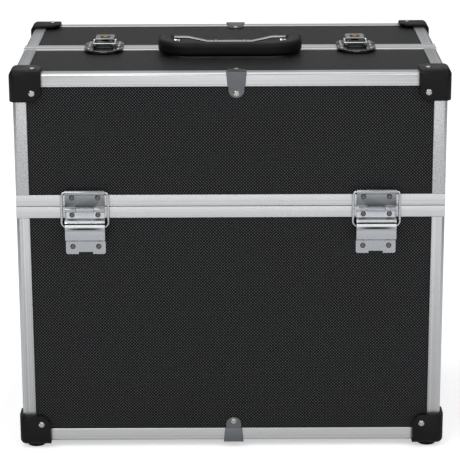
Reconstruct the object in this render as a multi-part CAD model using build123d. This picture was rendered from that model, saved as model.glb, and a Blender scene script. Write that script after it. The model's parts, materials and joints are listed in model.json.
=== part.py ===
from build123d import *
import math
import os

# Aluminium tool case: a lower box and two half lids that meet over its middle.
# Millimetres, +X to the right, the front at -Y, +Z up, the feet standing on Z = 0.

# Overall sizes of the aluminium frame
case_width = 380.0
case_depth = 240.0
body_height = 222.0
lid_height = 120.0
foot_height = 3.5

# Aluminium sections and the panels that slot into them
edge_width = 12.0
rim_width = 10.4
lip = 1.4
panel = 4.6
inner_lip = 1.2
slot_floor = 6.8
slot_play = 0.4
panel_play = 0.6
rim_web = 2.4
edge_radius = 3.0
lip_bevel = 0.4
seam_gap = 0.3
centre_gap = 0.4

# Lap on the body's rim that locates the lids
lap_gap = 0.3
lap_thickness = 1.2
lap_height = 4.0
lap_root = 4.0

# Foam lining
lining = 1.6
lining_gap = 1.0

# Moulded corner caps and feet
cap_thickness = 3.0
cap_arm = 25.0
cap_cut = 6.0
cap_round = 5.4
foot_radius = 8.5
foot_inset = 11.0
foot_bevel = 0.8
cap_rivet_far = 17.0
cap_rivet_near = 8.0

# Rivets
rivet_radius = 2.8
rivet_height = 1.2
small_rivet_radius = 1.9
small_rivet_height = 0.8
rivet_rim = 0.25
hinge_rivet_radius = 2.4
hinge_rivet_height = 1.1

# Steel edge clips
clip_width = 18.0
clip_waist = 15.6
clip_thickness = 1.0
clip_leg = 22.2
clip_tongue = 13.8
clip_rivet = 18.3
lid_clip_x = 5.5
base_clip_x = 2.0

# Hinges with their wire rings
hinge_inset = 61.0
hinge_width = 35.4
plate = 1.2
pin_proud = 2.6
pin_drop = 2.3
pin_radius = 1.2
pin_fit = 0.05
knuckle_radius = 2.3
knuckle_width = 15.6
knuckle_gap = 0.3
wire_radius = 1.1
wire_fit = 0.08
ring_rise = 15.7
ring_length = 31.4
ring_width = 41.2
ring_corner = 2.7
ring_bend = 4.8
cover_inside = 6.6
cover_start = 11.4
cover_step = 0.9
ridge_top = 12.6
ridge_bevel = 1.3
ridge_lead = 1.2
ridge_end = 20.5
step_run = 1.5
fold_drop = 28.4
fold_run = 2.8
leaf_drop = 43.8
leaf_corner = 2.0
leaf_lift = 0.5
notch_width = 12.6
notch_depth = 2.0
hinge_rivet_x = 11.5
upper_rivet_rise = 8.5
middle_rivet_drop = 7.2
lower_rivet_drop = 36.8

# Latches on the top seam
latch_inset = 74.0
latch_width = 35.8
latch_plate = 2.0
strike_length = 31.0
window_width = 18.4
window_front = 26.0
window_back = 5.0
base_length = 24.0
seat_play = 0.2
latch_rivet_x = 13.5
strike_rivet_near = 5.0
strike_rivet_far = 18.0
base_rivet_near = 4.0
base_rivet_far = 13.0
axle_y = 5.0
axle_rise = 4.0
axle_radius = 1.0
axle_fit = 0.03
lever_fit = 0.05
ear_radius = 1.9
ear_thickness = 1.2
lever_width = 17.6
lever_end = 25.0
lever_top = 7.4
lever_skin = 1.2
lever_corner = 3.0
lever_round = 0.8
lever_front = 1.0
lever_wrap = 0.8
lever_foot = 2.7
play = 0.3
link_y = 9.0
link_rise = 4.4
link_radius = 0.8
claw_arm = 1.6
claw_reach = 7.2
claw_hook = 1.7
claw_bar = 2.3
claw_play = 0.6
claw_low = 0.4
stub_root = 0.4
key_y = 15.5
key_radius = 3.6
key_proud = 0.8
key_bevel = 0.4
keyway_width = 1.0
keyway_length = 4.4
keyway_depth = 2.0
collar_width = 0.8
collar_height = 0.4

# Carrying handle
handle_width = 131.0
grip_deep = 14.0
grip_thick = 12.6
grip_round = 4.2
handle_y = 7.0
handle_reach = 38.0
grip_corner = 23.0
end_play = 0.3
end_round = 2.4
handle_pin_radius = 1.8
handle_pin_fit = 0.06
pin_skin = 2.5
strap_width = 8.0
strap_thickness = 1.4
strap_lift = 5.7
strap_flat = 20.5
strap_shoulder = 39.0
strap_foot_x = 13.0
strap_foot_radius = 3.2
eye_radius = 4.6
eye_length = 5.0
ear_gap = 0.4

# Places worked out from the sizes above
wall_outer = lip
wall_inner = lip + panel
wall = wall_inner + inner_lip
base_z = foot_height + cap_thickness
seam_z = base_z + body_height
lid_z = seam_z + seam_gap
top_z = seam_z + lid_height
half_width = case_width / 2
half_depth = case_depth / 2
half_gap = centre_gap / 2
hinge_x = half_width - hinge_inset
latch_x = half_width - latch_inset
panel_edge = slot_floor + panel_play
rim_edge = rim_web + slot_play
pin_y = half_depth + pin_proud
pin_z = seam_z - pin_drop
over = 1.0


def block(x0, x1, y0, y1, z0, z1):
    # A box between two corners
    size = Box(x1 - x0, y1 - y0, z1 - z0)
    return Pos((x0 + x1) / 2, (y0 + y1) / 2, (z0 + z1) / 2) * size


def rod_x(x0, x1, y, z, radius):
    # A round bar along X
    return Pos((x0 + x1) / 2, y, z) * Rot(0, 90, 0) * Cylinder(radius, x1 - x0)


def rod_z(x, y, z0, z1, radius):
    # A round bar along Z
    return Pos(x, y, (z0 + z1) / 2) * Cylinder(radius, z1 - z0)


def flip_x(shape):
    return mirror(shape, about=Plane.YZ)


def flip_y(shape):
    return mirror(shape, about=Plane.XZ)


def half_turn(shape):
    # The same piece on the far side of the case
    return Rot(0, 0, 180) * shape


def save(node, *solids):
    export_step(Compound(children=[s for s in solids]), f"parts/{node}.step")


def thicken(points, thickness):
    # Close a bent line into a sheet of even thickness, on the left of its run
    shifted = []
    for i, (u, v) in enumerate(points):
        before = points[max(i - 1, 0)]
        after = points[min(i + 1, len(points) - 1)]
        normals = []
        for start, end in ((before, (u, v)), ((u, v), after)):
            length = math.dist(start, end)
            if length > 0:
                normals.append(((start[1] - end[1]) / length, (end[0] - start[0]) / length))
        nu = sum(n[0] for n in normals) / len(normals)
        nv = sum(n[1] for n in normals) / len(normals)
        scale = thickness / (nu * nu + nv * nv)
        shifted.append((u + nu * scale, v + nv * scale))
    return points + shifted[::-1]


def extrude_between(profile, start, u_dir, v_dir, length):
    # Push a profile, drawn in u and v from a corner line, along that line
    w_dir = Vector(*u_dir).cross(Vector(*v_dir))
    plane = Plane(origin=start, x_dir=u_dir, z_dir=w_dir)
    return extrude(plane * profile, amount=length)


def outline(points):
    return make_face(Polyline(*points, close=True))


def edge_profile():
    # Corner extrusion: two face lips, a core, two inner lips and a slot for each panel
    points = [(edge_radius, 0), (edge_width - lip_bevel, 0), (edge_width, lip_bevel),
              (edge_width, wall_outer), (slot_floor, wall_outer), (slot_floor, wall_inner),
              (edge_width, wall_inner), (edge_width, wall), (wall, wall), (wall, edge_width),
              (wall_inner, edge_width), (wall_inner, slot_floor), (wall_outer, slot_floor),
              (wall_outer, edge_width), (lip_bevel, edge_width), (0, edge_width - lip_bevel),
              (0, edge_radius)]
    bend = edge_radius * (1 - math.sqrt(0.5))
    arc = ThreePointArc((0, edge_radius), (bend, bend), (edge_radius, 0))
    return make_face([*Polyline(*points).edges(), arc])


def rim_profile():
    # Rim extrusion: u runs inward from the face, v away from the seam
    return outline([(lip_bevel, 0), (wall, 0), (wall, rim_width), (wall_inner, rim_width),
                    (wall_inner, rim_web), (wall_outer, rim_web), (wall_outer, rim_width),
                    (lip_bevel, rim_width), (0, rim_width - lip_bevel), (0, lip_bevel)])


def mitre(shape, corner, normal):
    # Keep the side of a 45 degree cut that the normal points to
    return split(shape, bisect_by=Plane(origin=corner, z_dir=normal), keep=Keep.TOP)


def rivet(radius, height, place, normal):
    # A domed rivet head seated on a face
    dome_radius = (radius ** 2 + (height - rivet_rim) ** 2) / (2 * (height - rivet_rim))
    sphere = Pos(0, 0, height - dome_radius) * Sphere(dome_radius)
    stem = Pos(0, 0, height / 2) * Cylinder(radius, height)
    return Plane(origin=place, z_dir=normal) * (stem & sphere)


os.makedirs("parts", exist_ok=True)

# Panels of the body
body_low = base_z + panel_edge
body_top = seam_z - rim_edge
side_reach = half_depth - panel_edge
front_reach = half_width - panel_edge
body_front = block(-front_reach, front_reach, -half_depth + wall_outer, -half_depth + wall_inner,
                   body_low, body_top)
body_left = block(-half_width + wall_outer, -half_width + wall_inner, -side_reach, side_reach,
                  body_low, body_top)
save("body_front_panel", body_front)
save("body_back_panel", flip_y(body_front))
save("body_left_panel", body_left)
save("body_right_panel", flip_x(body_left))
save("body_bottom_panel", block(-front_reach, front_reach, -side_reach, side_reach,
                                base_z + wall_outer, base_z + wall_inner))

# Corner posts and base rails of the body
post_low = base_z + edge_width
body_post = extrude_between(edge_profile(), (-half_width, -half_depth, post_low),
                            (1, 0, 0), (0, 1, 0), seam_z - rim_width - post_low)
save("body_corner_posts", body_post, flip_x(body_post), flip_y(body_post), half_turn(body_post))
front_rail = extrude_between(edge_profile(), (-half_width, -half_depth, base_z),
                             (0, 1, 0), (0, 0, 1), case_width)
side_rail = extrude_between(edge_profile(), (-half_width, half_depth - edge_width, base_z),
                            (1, 0, 0), (0, 0, 1), case_depth - 2 * edge_width)
save("body_base_rails", front_rail, flip_y(front_rail), side_rail, flip_x(side_rail))


def seam_rim(z, up):
    # Rim along the front and the left of a seam; up is 1 above the seam and -1 below it
    corner = (-half_width, -half_depth, z)
    if up > 0:
        front = extrude_between(rim_profile(), corner, (0, 1, 0), (0, 0, 1), case_width)
        side = extrude_between(rim_profile(), (-half_width, half_depth, z),
                               (1, 0, 0), (0, 0, 1), case_depth)
    else:
        front = extrude_between(rim_profile(), (half_width, -half_depth, z),
                                (0, 1, 0), (0, 0, -1), case_width)
        side = extrude_between(rim_profile(), corner, (1, 0, 0), (0, 0, -1), case_depth)
    front = mitre(front, corner, (1, -1, 0))
    front = mitre(front, (half_width, -half_depth, z), (-1, -1, 0))
    side = mitre(side, corner, (-1, 1, 0))
    return front, side


# Rim round the mouth of the body, with the lap that locates the lids
rim_front, rim_side = seam_rim(seam_z, -1)
rim_side = mitre(rim_side, (-half_width, half_depth, seam_z), (-1, -1, 0))
lap_near = wall + lap_gap
lap_far = lap_near + lap_thickness
lap_x = half_width - lap_near
lap_front = (block(-lap_x, lap_x, -half_depth + lap_near, -half_depth + lap_far,
                   seam_z - lap_root, seam_z + lap_height)
             + block(-lap_x, lap_x, -half_depth + wall, -half_depth + lap_far,
                     seam_z - lap_root, seam_z))
lap_y = half_depth - lap_far
lap_side = (block(-half_width + lap_near, -half_width + lap_far, -lap_y, lap_y,
                  seam_z - lap_root, seam_z + lap_height)
            + block(-half_width + wall, -half_width + lap_far, -lap_y, lap_y,
                    seam_z - lap_root, seam_z))
rim_front = rim_front + lap_front
rim_side = rim_side + lap_side
save("body_rim", rim_front, flip_y(rim_front), rim_side, flip_x(rim_side))

# Foam lining of the body, an open tray
tray_x = half_width - wall
tray_y = half_depth - wall
tray_low = base_z + wall
body_lining = (block(-tray_x, tray_x, -tray_y, tray_y, tray_low, seam_z - lap_root)
               - block(-tray_x + lining, tray_x - lining, -tray_y + lining, tray_y - lining,
                       tray_low + lining, seam_z))
save("body_lining", body_lining)


def corner_cap():
    # Three-sided moulded cap in local axes, u, v and w running inward from the frame's faces
    outer = block(-cap_thickness, cap_arm, -cap_thickness, cap_arm, -cap_thickness, cap_arm)
    near = [e for e in outer.edges() if sum(1 for c in tuple(e.center())
                                            if abs(c + cap_thickness) < 0.01) == 2]
    cap = fillet(near, cap_round)
    beyond = cap_arm + over
    cap = cap - block(0, beyond, 0, beyond, 0, beyond)
    wedge = outline([(cap_arm - cap_cut, cap_arm), (cap_arm - cap_cut, beyond), (beyond, beyond),
                     (beyond, cap_arm - cap_cut), (cap_arm, cap_arm - cap_cut)])
    reach = cap_arm + 2 * cap_thickness
    for plane in (Plane.XY, Plane.YZ, Plane.ZX):
        cap = cap - extrude(plane * wedge, amount=-reach)
    return cap


def cap_rivets(with_bottom):
    # Rivets of one cap in its local axes: one on each upright face, one on the level face
    far = cap_rivet_far
    heads = [rivet(rivet_radius, rivet_height, (far, -cap_thickness, far), (0, -1, 0)),
             rivet(rivet_radius, rivet_height, (-cap_thickness, far, far), (-1, 0, 0))]
    if with_bottom:
        heads.append(rivet(rivet_radius, rivet_height, (far, cap_rivet_near, -cap_thickness),
                           (0, 0, -1)))
    return heads


# Bottom corner caps with their feet
foot_z = Pos(-half_width, -half_depth, base_z)
foot_cap = foot_z * corner_cap()
foot_x = -half_width + foot_inset
foot_y = -half_depth + foot_inset
foot = rod_z(foot_x, foot_y, 0, base_z - cap_thickness, foot_radius)
foot = chamfer(foot.edges().group_by(Axis.Z)[0], foot_bevel)
foot_cap = foot_cap + foot
save("foot_cap_front_left", foot_cap)
save("foot_cap_front_right", flip_x(foot_cap))
save("foot_cap_back_left", flip_y(foot_cap))
save("foot_cap_back_right", half_turn(foot_cap))


def edge_clip():
    # Angle clip over an edge in local axes: u across, v and w inward from the two faces
    half = clip_width / 2
    waist = clip_waist / 2
    t = clip_thickness
    leg = outline([(-half, -t), (half, -t), (waist, edge_width), (-waist, edge_width)])
    leg = Pos(0, 0, -t) * extrude(leg, amount=t)
    run = clip_tongue / 2
    tongue = block(-run, run, 0, clip_leg - run, 0, t)
    tongue = tongue + Pos(0, clip_leg - run, t / 2) * Cylinder(run, t)
    tongue = Pos(0, 0, lip - t) * (tongue & block(-half, half, edge_width, clip_leg, 0, t))
    step = block(-run, run, edge_width, edge_width + t, -t, lip)
    level = leg + tongue + step
    return level + mirror(level, about=Plane((0, 0, 0), z_dir=(0, 1, -1)))


def clip_rivets():
    # The clip's two rivets, on the tongues that lie on the panels
    seat = lip - clip_thickness
    return [rivet(rivet_radius, rivet_height, (0, seat, clip_rivet), (0, -1, 0)),
            rivet(rivet_radius, rivet_height, (0, clip_rivet, seat), (0, 0, -1))]


base_place = Pos(base_clip_x, -half_depth, base_z)
base_clip = base_place * edge_clip()
save("base_clips", base_clip, flip_y(base_clip))
body_rivets = []
for head in [foot_z * r for r in cap_rivets(False)]:
    body_rivets += [head, flip_x(head), flip_y(head), half_turn(head)]
for head in [base_place * r for r in clip_rivets()]:
    body_rivets += [head, flip_y(head)]
for x in (-hinge_x, hinge_x):
    for side in (-hinge_rivet_x, hinge_rivet_x):
        middle = rivet(hinge_rivet_radius, hinge_rivet_height,
                       (x + side, -half_depth - plate, seam_z - middle_rivet_drop), (0, -1, 0))
        lower = rivet(hinge_rivet_radius, hinge_rivet_height,
                      (x + side, -half_depth + lip - plate, seam_z - lower_rivet_drop),
                      (0, -1, 0))
        body_rivets += [middle, lower, flip_y(middle), flip_y(lower)]
save("body_rivets", *body_rivets)


def upper_leaf():
    # Leaf on the lid at x = 0: plate, two outer knuckles and the curl that holds the ring
    half = hinge_width / 2
    face = -half_depth
    curl_z = pin_z + ring_rise
    flat_low = lid_z + leaf_lift
    flat = block(-half, half, face - plate, face, flat_low, curl_z)
    inner = knuckle_width / 2 + knuckle_gap
    for x0, x1 in ((-half, -inner), (inner, half)):
        flat = flat + block(x0, x1, face - plate, face - play, pin_z, flat_low)
        flat = flat + rod_x(x0, x1, -pin_y, pin_z, knuckle_radius)
    flat = flat + rod_x(-half, half, -pin_y, curl_z, knuckle_radius)
    flat = flat - rod_x(-half - over, half + over, -pin_y, curl_z, wire_radius + wire_fit)
    return flat - rod_x(-half - over, half + over, -pin_y, pin_z, pin_radius + pin_fit)


def lower_leaf():
    # Leaf on the body at x = 0: knuckle, riveted flat, cover over the ring's bar, flange
    half = hinge_width / 2
    face = -half_depth
    out = cover_inside
    flat = cover_inside - cover_step
    # Inner side of the sheet as distance out from the frame's face and drop below the seam
    bends = [(0, pin_drop + knuckle_radius + play), (0, cover_start), (out - ridge_bevel, ridge_top),
             (out, ridge_top + ridge_lead), (out, ridge_end - step_run), (flat, ridge_end),
             (flat, fold_drop), (-lip, fold_drop + fold_run), (-lip, leaf_drop)]
    sheet = outline(thicken([(face - p, seam_z - d) for p, d in bends], -plate))
    leaf = extrude(Plane.YZ * sheet, amount=half, both=True)
    tab = knuckle_width / 2
    leaf = leaf + block(-tab, tab, face - plate, face, seam_z - middle_rivet_drop, pin_z)
    leaf = leaf + rod_x(-tab, tab, -pin_y, pin_z, knuckle_radius)
    leaf = leaf - rod_x(-tab - over, tab + over, -pin_y, pin_z, pin_radius + pin_fit)
    foot_low = seam_z - leaf_drop
    corners = [e for e in leaf.edges().filter_by(Axis.Y)
               if abs(e.center().Z - foot_low) < 0.01 and abs(abs(e.center().X) - half) < 0.01]
    leaf = fillet(corners, leaf_corner)
    notch = notch_width / 2
    return leaf - block(-notch, notch, face - plate, face + lip + over,
                        foot_low - over, foot_low + notch_depth)


def wire_ring():
    # Ring of round wire at x = 0, upper bar in the leaf's curl, lower bar under the cover
    mid_z = pin_z + ring_rise - ring_length / 2
    frame = Plane(origin=(0, -pin_y, mid_z), x_dir=(1, 0, 0), z_dir=(0, -1, 0))
    bent = Rectangle(ring_width, ring_length)
    bent = fillet(bent.vertices().group_by(Axis.Y)[-1], ring_corner)
    bent = fillet(bent.vertices().group_by(Axis.Y)[0], ring_bend)
    path = (frame * bent).wire()
    start = Plane(origin=path @ 0, z_dir=path % 0)
    return sweep(start * Circle(wire_radius), path=path)


pin_half = hinge_width / 2
hinge_pin = rod_x(-pin_half, pin_half, -pin_y, pin_z, pin_radius)
leaf_up = upper_leaf()
leaf_low = lower_leaf()
ring = wire_ring()
sides = {"left": -hinge_x, "right": hinge_x}
for side, x in sides.items():
    save(f"hinge_leaf_upper_front_{side}", Pos(x, 0, 0) * leaf_up)
    save(f"hinge_leaf_upper_rear_{side}", Pos(x, 0, 0) * flip_y(leaf_up))
    save(f"hinge_leaf_lower_front_{side}", Pos(x, 0, 0) * leaf_low)
    save(f"hinge_leaf_lower_rear_{side}", Pos(x, 0, 0) * flip_y(leaf_low))
    save(f"stay_ring_front_{side}", Pos(x, 0, 0) * ring)
    save(f"stay_ring_rear_{side}", Pos(x, 0, 0) * flip_y(ring))
save("hinge_pins_front", *[Pos(x, 0, 0) * hinge_pin for x in sides.values()])
save("hinge_pins_rear", *[Pos(x, 0, 0) * flip_y(hinge_pin) for x in sides.values()])

# Half lid over the front of the case; the rear one is its twin, turned half round
lid_low = lid_z + rim_edge
lid_top = top_z - panel_edge
lid_back = -half_gap - rim_edge
lid_front_panel = block(-front_reach, front_reach, -half_depth + wall_outer,
                        -half_depth + wall_inner, lid_low, lid_top)
lid_top_panel = block(-front_reach, front_reach, -side_reach, lid_back,
                      top_z - wall_inner, top_z - wall_outer)
lid_side_panel = block(-half_width + wall_outer, -half_width + wall_inner, -side_reach, lid_back,
                       lid_low, lid_top)
lid_post = extrude_between(edge_profile(), (-half_width, -half_depth, lid_z + rim_width),
                           (1, 0, 0), (0, 1, 0), top_z - edge_width - lid_z - rim_width)
lid_front_rail = extrude_between(edge_profile(), (half_width, -half_depth, top_z),
                                 (0, 1, 0), (0, 0, -1), case_width)
rim_stop = -half_gap - rim_width
lid_side_rail = extrude_between(edge_profile(), (-half_width, -half_depth + edge_width, top_z),
                                (1, 0, 0), (0, 0, -1), half_depth - edge_width + rim_stop)
low_rim, low_side = seam_rim(lid_z, 1)
meet = (-half_width, -half_gap, lid_z)
low_side = mitre(low_side, meet, (0, -1, -1))
upright_rim = extrude_between(rim_profile(), (-half_width, -half_gap, top_z),
                              (1, 0, 0), (0, -1, 0), top_z - lid_z)
upright_rim = mitre(upright_rim, meet, (0, 1, 1))
top_corner = (-half_width, -half_gap, top_z)
upright_rim = mitre(upright_rim, top_corner, (-1, 0, -1))
top_rim = extrude_between(rim_profile(), (-half_width, -half_gap, top_z),
                          (0, 0, -1), (0, -1, 0), -case_width)
top_rim = mitre(top_rim, top_corner, (1, 0, 1))
top_rim = mitre(top_rim, (half_width, -half_gap, top_z), (-1, 0, 1))

# Foam lining of the half lid, open towards the body and towards the other lid
roof = top_z - wall
lining_low = seam_z + lap_height + lining_gap
lining_x = half_width - wall
lining_front = -half_depth + wall
lid_lining = (block(-lining_x, lining_x, lining_front, -half_gap - lining_gap, lining_low, roof)
              - block(-lining_x + lining, lining_x - lining, lining_front + lining, over,
                      lining_low - over, roof - lining))

# Top corner caps, edge clip and rivets of the half lid
cap_place = Pos(-half_width, -half_depth, top_z)
top_cap = cap_place * mirror(corner_cap(), about=Plane.XY)
lid_clip = Pos(lid_clip_x, -half_depth, top_z) * mirror(edge_clip(), about=Plane.XY)
lid_rivets = []
for head in cap_rivets(True):
    placed = cap_place * mirror(head, about=Plane.XY)
    lid_rivets += [placed, flip_x(placed)]
for head in clip_rivets():
    lid_rivets.append(Pos(lid_clip_x, -half_depth, top_z) * mirror(head, about=Plane.XY))
for x in sides.values():
    for side in (-hinge_rivet_x, hinge_rivet_x):
        lid_rivets.append(rivet(hinge_rivet_radius, hinge_rivet_height,
                                (x + side, -half_depth - plate, seam_z + upper_rivet_rise),
                                (0, -1, 0)))

# Rivets that hold the latch halves and the handle strap
strike_rivets = []
base_rivets = []
for x in (-latch_x, latch_x):
    for side in (-latch_rivet_x, latch_rivet_x):
        for y, group in ((-strike_rivet_near, strike_rivets), (-strike_rivet_far, strike_rivets),
                         (base_rivet_near, base_rivets), (base_rivet_far, base_rivets)):
            group.append(rivet(small_rivet_radius, small_rivet_height,
                               (x + side, y, top_z + latch_plate), (0, 0, 1)))
strap_rivets = [rivet(small_rivet_radius, small_rivet_height,
                      (x, -handle_y, top_z + strap_lift + strap_thickness), (0, 0, 1))
                for x in (-strap_foot_x, strap_foot_x)]

half_lids = {"front": lambda shape: shape, "rear": flip_y}
extra_rivets = {"front": strike_rivets + strap_rivets, "rear": base_rivets}
for end, place in half_lids.items():
    save(f"{end}_lid_face_panel", place(lid_front_panel))
    save(f"{end}_lid_top_panel", place(lid_top_panel))
    save(f"{end}_lid_side_panels", place(lid_side_panel), place(flip_x(lid_side_panel)))
    save(f"{end}_lid_edge_rails", place(lid_front_rail), place(lid_side_rail),
         place(flip_x(lid_side_rail)), place(lid_post), place(flip_x(lid_post)))
    save(f"{end}_lid_rims", place(low_rim), place(low_side), place(flip_x(low_side)),
         place(upright_rim), place(flip_x(upright_rim)), place(top_rim))
    save(f"{end}_lid_lining", place(lid_lining))
    save(f"{end}_lid_corner_caps", place(top_cap), place(flip_x(top_cap)))
    save(f"{end}_lid_clip", place(lid_clip))
    save(f"{end}_lid_rivets", *[place(r) for r in lid_rivets], *extra_rivets[end])


def rounded_plate(y_near, y_far, z0, z1):
    # Plate as wide as the latch, square at the seam and half round at its far end
    half = latch_width / 2
    sign = 1 if y_far > y_near else -1
    centre = y_far - sign * half
    low, high = sorted((centre - sign * latch_width, centre))
    shape = rod_z(0, centre, z0, z1, half) + block(-half, half, low, high, z0, z1)
    low, high = sorted((y_near, y_far + sign * over))
    return shape & block(-latch_width, latch_width, low, high, z0, z1)


# Latch strike on the front lid: a plate with the window that the claw drops into
top = top_z
pad_start = half_gap + rim_width + seat_play
strike = rounded_plate(-centre_gap, -strike_length, top, top + latch_plate)
pad = rounded_plate(-pad_start, -strike_length, top - lip, top)
window = block(-window_width / 2, window_width / 2, -window_front, -window_back,
               top - lip - over, top + latch_plate + over)
strike = (strike + pad) - window

# Latch base on the rear lid: a plate with two ears, and the axle held in them
base = rounded_plate(centre_gap, base_length, top, top + latch_plate)
base = base + rounded_plate(pad_start, base_length, top - lip, top)
axle_z = top + axle_rise
cheek_out = lever_width / 2
cheek_in = cheek_out - lever_skin
ear_out = cheek_in - play
for sign in (-1, 1):
    x0, x1 = sorted((sign * (ear_out - ear_thickness), sign * ear_out))
    base = base + block(x0, x1, axle_y - ear_radius, axle_y + ear_radius, top + latch_plate, axle_z)
    base = base + rod_x(x0, x1, axle_y, axle_z, ear_radius)
base = base - rod_x(-latch_width, latch_width, axle_y, axle_z, axle_radius + axle_fit)
axle = rod_x(-cheek_out, cheek_out, axle_y, axle_z, axle_radius)

# Lever: an inverted channel on the axle, with two stubs that carry the claw
lever = block(-cheek_out, cheek_out, axle_y - lever_front, lever_end, top + lever_foot, top + lever_top)
lever = fillet(lever.edges().filter_by(Axis.Z).group_by(Axis.Y)[-1], lever_corner)
lever = fillet(lever.edges().group_by(Axis.Z)[-1], lever_round)
lever = lever - block(-cheek_in, cheek_in, axle_y - lever_front - over, lever_end - lever_skin,
                      top, top + lever_top - lever_skin)
lever = lever - block(-cheek_out - over, cheek_out + over, axle_y - lever_front - over, axle_y,
                      top, axle_z - axle_radius - lever_wrap)
claw_in = cheek_out + play
claw_out = claw_in + claw_arm
link_z = top + link_rise
for sign in (-1, 1):
    x0, x1 = sorted((sign * (cheek_out - stub_root), sign * claw_out))
    lever = lever + rod_x(x0, x1, link_y, link_z, link_radius)
key_low = top + lever_foot + play
key_hole = rod_z(0, key_y, key_low, top + lever_top + over, key_radius + play)
axle_hole = rod_x(-cheek_out - over, cheek_out + over, axle_y, axle_z, axle_radius + lever_fit)
lever = lever - key_hole - axle_hole

# Claw: two arms on the lever's stubs and a hook that drops behind the strike's bar
arm_low = link_z - claw_arm / 2
arm_high = link_z + claw_arm / 2
claw = block(-claw_out, claw_out, -claw_reach, claw_bar - claw_reach, arm_low, arm_high)
hook_half = window_width / 2 - claw_play
claw = claw + block(-hook_half, hook_half, -claw_reach, claw_hook - claw_reach,
                    top + claw_low, arm_low)
for sign in (-1, 1):
    x0, x1 = sorted((sign * claw_in, sign * claw_out))
    claw = claw + block(x0, x1, -claw_reach, link_y, arm_low, arm_high)
    claw = claw + rod_x(x0, x1, link_y, link_z, claw_arm)
claw = claw - rod_x(-latch_width, latch_width, link_y, link_z, link_radius + lever_fit)

# Brass key cylinder in the lever, with its keyway and a collar on the lever's top
key_top = top + lever_top + key_proud
collar_low = top + lever_top
key = rod_z(0, key_y, key_low + play, key_top, key_radius)
key = chamfer(key.edges().group_by(Axis.Z)[-1], key_bevel)
key = key - block(-keyway_width / 2, keyway_width / 2, key_y - keyway_length / 2,
                  key_y + keyway_length / 2, key_top - keyway_depth, key_top + over)
collar = rod_z(0, key_y, collar_low, collar_low + collar_height, key_radius + collar_width)
collar = collar - rod_z(0, key_y, collar_low - over, collar_low + over, key_radius - key_bevel)
key = key + collar

save("latch_strikes", *[Pos(x, 0, 0) * strike for x in (-latch_x, latch_x)])
latch_base_solids = []
for x in (-latch_x, latch_x):
    latch_base_solids += [Pos(x, 0, 0) * base, Pos(x, 0, 0) * axle]
save("latch_bases", *latch_base_solids)
for side, x in (("left", -latch_x), ("right", latch_x)):
    save(f"latch_lever_{side}", Pos(x, 0, 0) * lever)
    save(f"latch_claw_{side}", Pos(x, 0, 0) * claw)
    save(f"key_cylinder_{side}", Pos(x, 0, 0) * key)

# Handle strap: a bowed steel strip on two feet, on the front half of the centre rim
arm_x = handle_width / 2 - grip_deep / 2
strap_end = arm_x - grip_deep / 2 - ear_gap
hold_z = top + play + grip_thick / 2
raised = hold_z + eye_radius - strap_thickness
strap_low = top + strap_lift
bow = [(-strap_end, raised), (-strap_shoulder, raised), (-strap_flat, strap_low),
       (strap_flat, strap_low), (strap_shoulder, raised), (strap_end, raised)]
strap_face = Plane(origin=(0, -handle_y, 0), x_dir=(1, 0, 0), z_dir=(0, -1, 0))
strap = extrude(strap_face * outline(thicken(bow, strap_thickness)), amount=strap_width / 2, both=True)
for x in (-strap_foot_x, strap_foot_x):
    strap = strap + rod_z(x, -handle_y, top, strap_low, strap_foot_radius)
pin_in = strap_end - eye_length
pin_out = arm_x + grip_deep / 2 - pin_skin
handle_pins = []
pin_holes = []
for sign in (-1, 1):
    x0, x1 = sorted((sign * pin_in, sign * strap_end))
    strap = strap + rod_x(x0, x1, -handle_y, hold_z, eye_radius)
    x0, x1 = sorted((sign * pin_in, sign * pin_out))
    handle_pins.append(rod_x(x0, x1, -handle_y, hold_z, handle_pin_radius))
    x0, x1 = sorted((sign * (pin_in - over), sign * (pin_out + ear_gap)))
    pin_holes.append(rod_x(x0, x1, -handle_y, hold_z, handle_pin_radius + handle_pin_fit))
save("handle_strap", strap - pin_holes[0] - pin_holes[1])
save("handle_pins", *handle_pins)

# Moulded grip: a flattened bar bent to a U, its two rounded ends turning on the pins
flat_path = FilletPolyline((-arm_x, 0), (-arm_x, -handle_reach), (arm_x, -handle_reach), (arm_x, 0),
                           radius=grip_corner)
path = Plane(origin=(0, -handle_y, hold_z)) * flat_path
section = Plane(origin=path @ 0, x_dir=(1, 0, 0), z_dir=path % 0)
grip = sweep(section * RectangleRounded(grip_deep, grip_thick, grip_round), path=path)
for sign in (-1, 1):
    x0, x1 = sorted((sign * (arm_x - grip_deep / 2 + end_play), sign * (arm_x + grip_deep / 2 - end_play)))
    boss = rod_x(x0, x1, -handle_y, hold_z, grip_thick / 2 - end_play)
    grip = grip + fillet(boss.edges().filter_by(GeomType.CIRCLE), end_round)
save("handle_grip", grip - pin_holes[0] - pin_holes[1])
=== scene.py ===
import json
import math

import bmesh
import bpy
from mathutils import Matrix, Vector

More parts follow.
